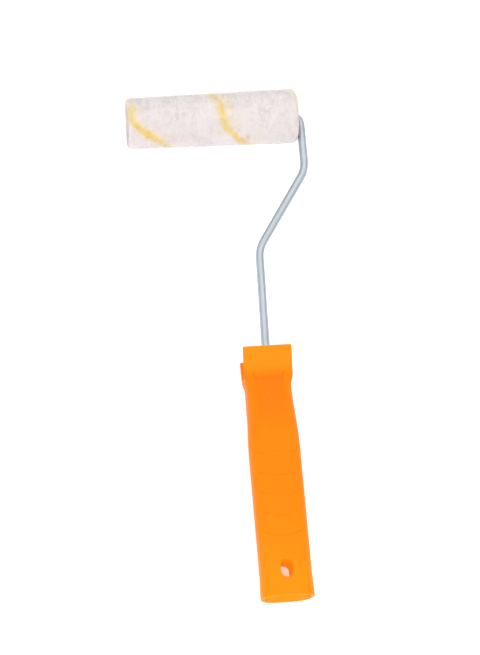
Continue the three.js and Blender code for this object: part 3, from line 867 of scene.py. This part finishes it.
def build_bearings(plastic):
    ends = (("wire_end_bearing", WIRE_END_FACE_X, 1), ("free_end_bearing", FREE_END_FACE_X, -1))
    for name, face_x, side in ends:
        start, stop = sorted((face_x, face_x - side * HUB_LENGTH))
        field = bearing_field(face_x, side)
        axis_piece(name + "_moulding", field, start, stop, FLANGE_R, BEARING_CELL,
                   "sleeve", "bearing", plastic, [name])


def build_core(plastic):
    span = (SLEEVE_FREE_X + CORE_INSET, SLEEVE_END_X - CORE_INSET)
    field = ring_field(*span, CORE_R - CORE_WALL, CORE_R, CORE_BLEND)
    axis_piece("core_pipe", field, *span, CORE_R, CORE_CELL, "sleeve", "core", plastic, ["core_tube"])


def build_washers(steel):
    thrust = (WIRE_END_FACE_X + GAP, WIRE_END_FACE_X + GAP + WASHER_THICK)
    ending = (FREE_END_FACE_X - GAP - WASHER_THICK, FREE_END_FACE_X - GAP)
    for name, node, span in (("thrust_ring", "thrust_washer", thrust), ("end_ring", "end_washer", ending)):
        field = ring_field(*span, BORE_R, WASHER_R, WASHER_BLEND)
        axis_piece(name, field, *span, WASHER_R, WASHER_CELL, "frame", "washer", steel, [node])


def build_push_nut(spring):
    axis_piece("push_on_nut", push_nut_field, SLEEVE_FREE_X, FREE_END_FACE_X, PUSH_NUT_R, PUSH_NUT_CELL,
               "frame", "spring_steel", spring, ["push_nut"])


def build_ears(zinc):
    span = (WIRE_END_FACE_X, WIRE_END_FACE_X + EAR_GRID_LENGTH)
    axis_piece("rod_ears", ears_field, *span, EAR_GRID_R, EAR_CELL, "frame", "wire", zinc)


# ---------------------------------------------------------------- pile

PILE_PROUD = 0.7  # past the solid pile's ends
CORNER_WIRE_END = (3.2, 5.5)  # length and height of the rounded corner
CORNER_FREE_END = (1.5, 2)
MOUTH_DEPTH = 3.6
MOUTH_TOP_R = 12
SHELTERED_R = 10.6  # inside this the pile is flattened against the bearing
PILE_END_STEPS = 12
PILE_STEP, QUICK_PILE_STEP = 0.36, 0.5
PILE_SIDES, QUICK_PILE_SIDES = 280, 200
PILE_TURN = math.radians(16.4)  # how far the sleeve has been spun from its start

# Layers of noise, each as strength, cell size and seed.
PILE_SWELL = (0.22, 5.5, 1)
PILE_TUFT = (0.17, 1.5, 2)
PILE_FIBRE = (0.14, 0.75, 3)
TUFT_SQUEEZE = (1, 0.7, 0.7)
SHADE_PER_DEPTH, DEEPEST_SHADE = 0.6, 0.4

# The yellow stripe, which winds round the sleeve.
STRIPE_PITCH = 49
STRIPE_SHIFT = -23.4
STRIPE_HALF = 3.2
STRIPE_WIDER, STRIPE_WIDER_X = 1.3, (-58, -35)
STRIPE_STRENGTH, STRIPE_BLOTCH = 0.8, (0.25, 11, 9)
STRIPE_WANDER, STRIPE_FRAY = (1.1, 9, 5), (0.9, 2.2, 6)
STRIPE_BOW = 1.9  # how far it bows towards the free end on the thumb side
FRINGE_OFF, FRINGE_WIDTH = 7, 3.5
FRINGE_STRENGTH, FRINGE_BLOTCH = 0.26, (0.2, 5, 8)

# Where the stripe leans off its helix, on the handle's side and at the free end: by how much, and
# where along and round the sleeve.
HANDLE_LEAN, HANDLE_LEAN_X, HANDLE_LEAN_TURN = 3.4, (-45, -25), (2.05, 0.45)
END_LEAN, END_LEAN_X, END_LEAN_TURN = 10, (-62, 16), (1.5, 0.6)

# Where it is worn pale: at the wire end, and near the free end on its far side.
WORN_WIRE_END, WORN_WIRE_END_X = 0.4, (18, 27)
WORN_FREE_END, WORN_FREE_END_X, WORN_FREE_END_TURN = 0.45, -58, (0.5, 1.2)

# Single fibres that stand out of the nap.
FIBRE_SEED = 7
FIBRE_COUNT = 13000
FIBRE_SIDES = 3
OPEN_AIR = 0.95  # how exposed the nap is where they grow
FIBRE_SPREAD = 0.55
FIBRE_ROOT = 0.5  # how deep it starts in the nap
FIBRE_RISE = (0.2, 0.6)  # from the nap to its bend
FIBRE_REACH = (0.1, 0.5)  # from its bend to its tip
FIBRE_STRAY = (0.25, 0.9)  # shares of its spread at its bend and past it
FIBRE_R = (0.035, 0.06)
FIBRE_TAPER = (1.2, 1.0, 0.25)  # at its root, bend and tip
FIBRE_SKEW = (0.01, 0.02, 0.03)  # lets a fibre that stands straight have sides too


def pile_end(end_x, side, outer, corner):
    """(x, radius) points up one end of the pile: a soft mouth, then a corner of (length, height)."""
    length, height = corner
    turns = np.linspace(0, math.pi / 2, PILE_END_STEPS)
    crest = min(outer - height, MOUTH_TOP_R)
    mouth = [(MOUTH_DEPTH * (1 - math.sin(t)), mix(PILE_FOOT_R, crest, 1 - math.cos(t))) for t in turns]
    arc = [(length * (1 - math.cos(t)), outer - height * (1 - math.sin(t))) for t in turns]
    return [(end_x - side * depth, radius) for depth, radius in mouth + arc]


def pile_profile():
    """(x, radius) points over the pile from one mouth to the other, evenly spaced."""
    right = pile_end(SLEEVE_END_X + PILE_PROUD, 1, PILE_R_WIRE_END, CORNER_WIRE_END)
    left = pile_end(SLEEVE_FREE_X - PILE_PROUD, -1, PILE_R_FREE_END, CORNER_FREE_END)
    corners = np.array(right + left[::-1])
    run = np.concatenate([[0], np.cumsum(np.linalg.norm(np.diff(corners, axis=0), axis=1))])
    step = PILE_STEP
    at = np.linspace(0, run[-1], round(run[-1] / step))
    return np.stack([np.interp(at, run, corners[:, k]) for k in range(2)], axis=1)


def around(x, radius, angle):
    """Bench points at an angle about the sleeve's axis, from its far side over the thumb side."""
    turned = angle + PILE_TURN
    return np.stack([x, SLEEVE_AXIS_Y + radius * np.cos(turned), radius * np.sin(turned)], axis=-1)


def stripe_lean(x, turned):
    """How far the stripe leans off its helix along the sleeve."""
    bow = STRIPE_BOW * np.sin(turned).clip(0) ** 2
    inner = HANDLE_LEAN * bell(turned, *HANDLE_LEAN_TURN) * ramp(x, *HANDLE_LEAN_X)
    end = END_LEAN * bell(x, *END_LEAN_X) * bell(turned, *END_LEAN_TURN)
    return -bow - inner - end


def stripe_wear(x, turned):
    """1 where the stripe is as bright as it was, less where it is worn."""
    wire_end = mix(1, WORN_WIRE_END, ramp(x, *WORN_WIRE_END_X))
    free_end = mix(WORN_FREE_END, 1, ramp(np.abs(turned), *WORN_FREE_END_TURN))
    return wire_end * np.where(x < WORN_FREE_END_X, free_end, 1)


def stripe_cover(points):
    """How dyed the pile is: a winding yellow band, with a paler fringe along its right."""
    x = points[:, 0]
    turned = np.arctan2(points[:, 2], points[:, 1] - SLEEVE_AXIS_Y) - PILE_TURN
    centre = STRIPE_SHIFT + STRIPE_PITCH * turned / (2 * math.pi) + stripe_lean(x, turned)
    off = x + layer(points, *STRIPE_WANDER) + layer(points, *STRIPE_FRAY) - centre
    off = off - STRIPE_PITCH * np.round(off / STRIPE_PITCH)
    half = STRIPE_HALF * mix(STRIPE_WIDER, 1, ramp(x, *STRIPE_WIDER_X))
    band = np.exp(-np.abs(off / half) ** 3) * (STRIPE_STRENGTH + layer(points, *STRIPE_BLOTCH))
    fringe = bell(off, FRINGE_OFF, FRINGE_WIDTH) * (FRINGE_STRENGTH + layer(points, *FRINGE_BLOTCH))
    return (band + fringe) * stripe_wear(x, turned)


def pile_heights(points, exposed):
    """How far tufts stand above or below the pile's mean surface."""
    swell, fibre = layer(points, *PILE_SWELL), layer(points, *PILE_FIBRE)
    tuft = layer(points * TUFT_SQUEEZE, *PILE_TUFT)
    return (swell + tuft + fibre) * exposed


def pile_surface():
    """The pile's smooth surface: points, outward directions, exposure to the air, rings and sides."""
    profile = pile_profile()
    rings = len(profile)
    sides = PILE_SIDES
    angles = np.arange(sides) * 2 * math.pi / sides
    x = np.repeat(profile[:, 0], sides)
    radius = np.repeat(profile[:, 1], sides)
    angle = np.tile(angles, rings)
    slope = unit(np.gradient(profile, axis=0))
    normal_x = np.repeat(slope[:, 1], sides)
    normal_r = np.repeat(-slope[:, 0], sides)
    outward = around(normal_x, normal_r, angle) - (0, SLEEVE_AXIS_Y, 0)
    exposed = np.repeat(ramp(profile[:, 1], PILE_FOOT_R, SHELTERED_R), sides)
    return around(x, radius, angle), outward, exposed, rings, sides


def build_pile(pile):
    """The nap as one closed surface, with its stripes and the shade between its tufts."""
    base, outward, exposed, rings, sides = pile_surface()
    height = pile_heights(base, exposed)
    points = base + outward * height[:, None]
    shade = np.clip(-height * SHADE_PER_DEPTH, 0, DEEPEST_SHADE)
    facts = {"stripe": stripe_cover(base), "hollow": shade}
    faces = ring_faces(rings, sides, True)
    make_piece("pile_nap", points, faces, "sleeve", "pile", pile, ["pile_cover"], facts)
    build_fibres(pile, base, outward, exposed)


def build_fibres(pile, base, outward, exposed):
    """Single fibres standing out of the nap: thin, tapered and bent over."""
    rng = np.random.default_rng(FIBRE_SEED)
    count = FIBRE_COUNT
    chosen = rng.choice(np.flatnonzero(exposed > OPEN_AIR), count, replace=False)
    root, normal = base[chosen], outward[chosen]
    stray = rng.normal(0, FIBRE_SPREAD, (count, 3))
    middle = root + normal * rng.uniform(*FIBRE_RISE, (count, 1)) + stray * FIBRE_STRAY[0]
    tip = middle + normal * rng.uniform(*FIBRE_REACH, (count, 1)) + stray * FIBRE_STRAY[1]
    root = root - normal * FIBRE_ROOT
    side = unit(np.cross(normal, stray + FIBRE_SKEW))
    other = np.cross(side, normal)
    thick = rng.uniform(*FIBRE_R, (count, 1))
    rings = []
    for centre, size in zip((root, middle, tip), FIBRE_TAPER):
        for k in range(FIBRE_SIDES):
            turn = 2 * math.pi * k / FIBRE_SIDES
            rings.append(centre + thick * size * (math.cos(turn) * side + math.sin(turn) * other))
    each = len(rings)
    points = np.stack(rings, axis=1).reshape(-1, 3)
    caps = [tuple(range(each - 1, each - 1 - FIBRE_SIDES, -1)), tuple(range(FIBRE_SIDES))]
    one = ring_faces(len(FIBRE_TAPER), FIBRE_SIDES, False) + caps
    faces = [tuple(each * k + v for v in face) for k in range(count) for face in one]
    facts = {"stripe": np.repeat(stripe_cover(base[chosen]), each), "hollow": np.zeros(len(points))}
    make_piece("pile_fuzz", points, faces, "sleeve", "pile", pile, (), facts)


# ---------------------------------------------------------------- materials and assembly

handle_orange = moulded_plastic("handle_orange", (0.90, 0.180, 0.0025), (0.97, 0.250, 0.004), 0.45, 0.35)
plug_orange = moulded_plastic("plug_orange", (0.90, 0.19, 0.002), (0.95, 0.225, 0.002), 0.6, 0.5, 0.03)
bearing_orange = moulded_plastic("bearing_orange", (0.72, 0.10, 0.03), (0.80, 0.14, 0.04), 0.38, 0.1)
zinc = zinc_plate("zinc_wire", (0.95, 0.98, 1.0), (0.62, 0.66, 0.695), 0.3)
washer_steel = pressed_steel("washer_steel", (0.62, 0.62, 0.60), 0.34)
nut_steel = pressed_steel("nut_steel", (0.30, 0.29, 0.28), 0.4)
core_white = core_plastic("core_white", (0.72, 0.70, 0.66), (0.60, 0.57, 0.52))
pile_white = knitted_pile(
    "pile_white", (0.715, 0.66, 0.655), (0.69, 0.63, 0.625),
    (0.74, 0.64, 0.50), (0.74, 0.565, 0.205), (0.75, 0.515, 0.12),
)

build_handle(handle_orange, plug_orange)
build_wire(zinc)
build_ears(zinc)
build_bearings(bearing_orange)
build_core(core_white)
build_washers(washer_steel)
build_push_nut(nut_steel)
build_pile(pile_white)

# ---------------------------------------------------------------- floor, lights and camera

CAMERA_TURN = math.radians(6.22)
CAMERA_TILT = math.radians(16.35)
CAMERA_ROLL = math.radians(5.01)
CAMERA_AWAY = 1.3815
CAMERA_AIM = to_row((0, 140, 0))
CAMERA_ASIDE = (0.01595, -0.02333)  # metres that the aim lies right of and above the view's middle
LENS = 127.2
FLOOR_REACH = 4
FLOOR_GLOW = 0.4
TENT_HEIGHTS = (0.1, 0.75)  # between which it brightens
TENT_STRENGTHS = (0.46, 1.2)


def add_floor():
    """A plain pale sheet that glows a little, as under a tent of light."""
    s = Shader("floor_paper")
    tone = s.blend(s.ranged(s.noise(3, 3), *NOISE_SPAN, 0, 1), (0.78, 0.78, 0.78), (0.80, 0.80, 0.80))
    s.color(tone)
    s.roughness(s.ranged(s.noise(40, 3), *NOISE_SPAN, 0.85, 1.0))
    s.set(Specular_IOR_Level=0.1, Emission_Color=(1, 1, 1, 1), Emission_Strength=FLOOR_GLOW)
    mesh = bpy.data.meshes.new("floor")
    corners = [(FLOOR_REACH * x, FLOOR_REACH * y, 0) for x, y in ((-1, -1), (1, -1), (1, 1), (-1, 1))]
    mesh.from_pydata(corners, [], [(0, 1, 2, 3)])
    mesh.materials.append(s.material)
    floor = bpy.data.objects.new("floor", mesh)
    bpy.context.scene.collection.objects.link(floor)


def add_area(name, place, size, power):
    """A round soft light aimed at the middle of the roller's footprint."""
    light = bpy.data.lights.new(name, "AREA")
    light.shape = "DISK"
    light.size = size
    light.energy = power
    lamp = bpy.data.objects.new(name, light)
    lamp.location = place
    lamp.rotation_euler = (-Vector(place)).to_track_quat("-Z", "Y").to_euler()
    bpy.context.scene.collection.objects.link(lamp)


def add_world():
    """A white tent that is brighter overhead than at the horizon."""
    world = bpy.data.worlds.new("tent")
    world.use_nodes = True
    tree = world.node_tree
    direction = tree.nodes.new("ShaderNodeTexCoord").outputs["Generated"]
    split = tree.nodes.new("ShaderNodeSeparateXYZ")
    height = tree.nodes.new("ShaderNodeMapRange")
    tree.links.new(direction, split.inputs[0])
    tree.links.new(split.outputs["Z"], height.inputs["Value"])
    names = ("From Min", "From Max", "To Min", "To Max")
    for key, value in zip(names, TENT_HEIGHTS + TENT_STRENGTHS):
        height.inputs[key].default_value = value
    background = tree.nodes["Background"]
    tree.links.new(height.outputs["Result"], background.inputs["Strength"])
    background.inputs["Color"].default_value = (0.98, 0.99, 1.0, 1)
    bpy.context.scene.world = world


def add_camera():
    """A distant camera with a long lens, turned, tilted and rolled off the thumb side."""
    turn, tilt = CAMERA_TURN, CAMERA_TILT
    back = Vector((-math.sin(turn) * math.cos(tilt), -math.sin(tilt), math.cos(turn) * math.cos(tilt)))
    level_up = (Vector((0, 1, 0)) - back * back.y).normalized()
    level_right = level_up.cross(back)
    right = level_right * math.cos(CAMERA_ROLL) - level_up * math.sin(CAMERA_ROLL)
    up = level_right * math.sin(CAMERA_ROLL) + level_up * math.cos(CAMERA_ROLL)
    place = Vector(CAMERA_AIM) - right * CAMERA_ASIDE[0] - up * CAMERA_ASIDE[1] + back * CAMERA_AWAY
    camera = bpy.data.cameras.new("camera")
    camera.lens = LENS
    view = bpy.data.objects.new("camera", camera)
    turned = Matrix((right, up, back)).transposed()
    view.matrix_world = Matrix.Translation(place) @ turned.to_4x4()
    bpy.context.scene.collection.objects.link(view)
    bpy.context.scene.camera = view


add_floor()
add_world()
add_area("key_light", place=(-0.3, -1.3, 1.5), size=0.9, power=15.5)
add_area("back_fill", place=(0.2, 1.4, 0.9), size=0.9, power=4.5)
add_camera()
bpy.context.scene.view_settings.view_transform = "Standard"
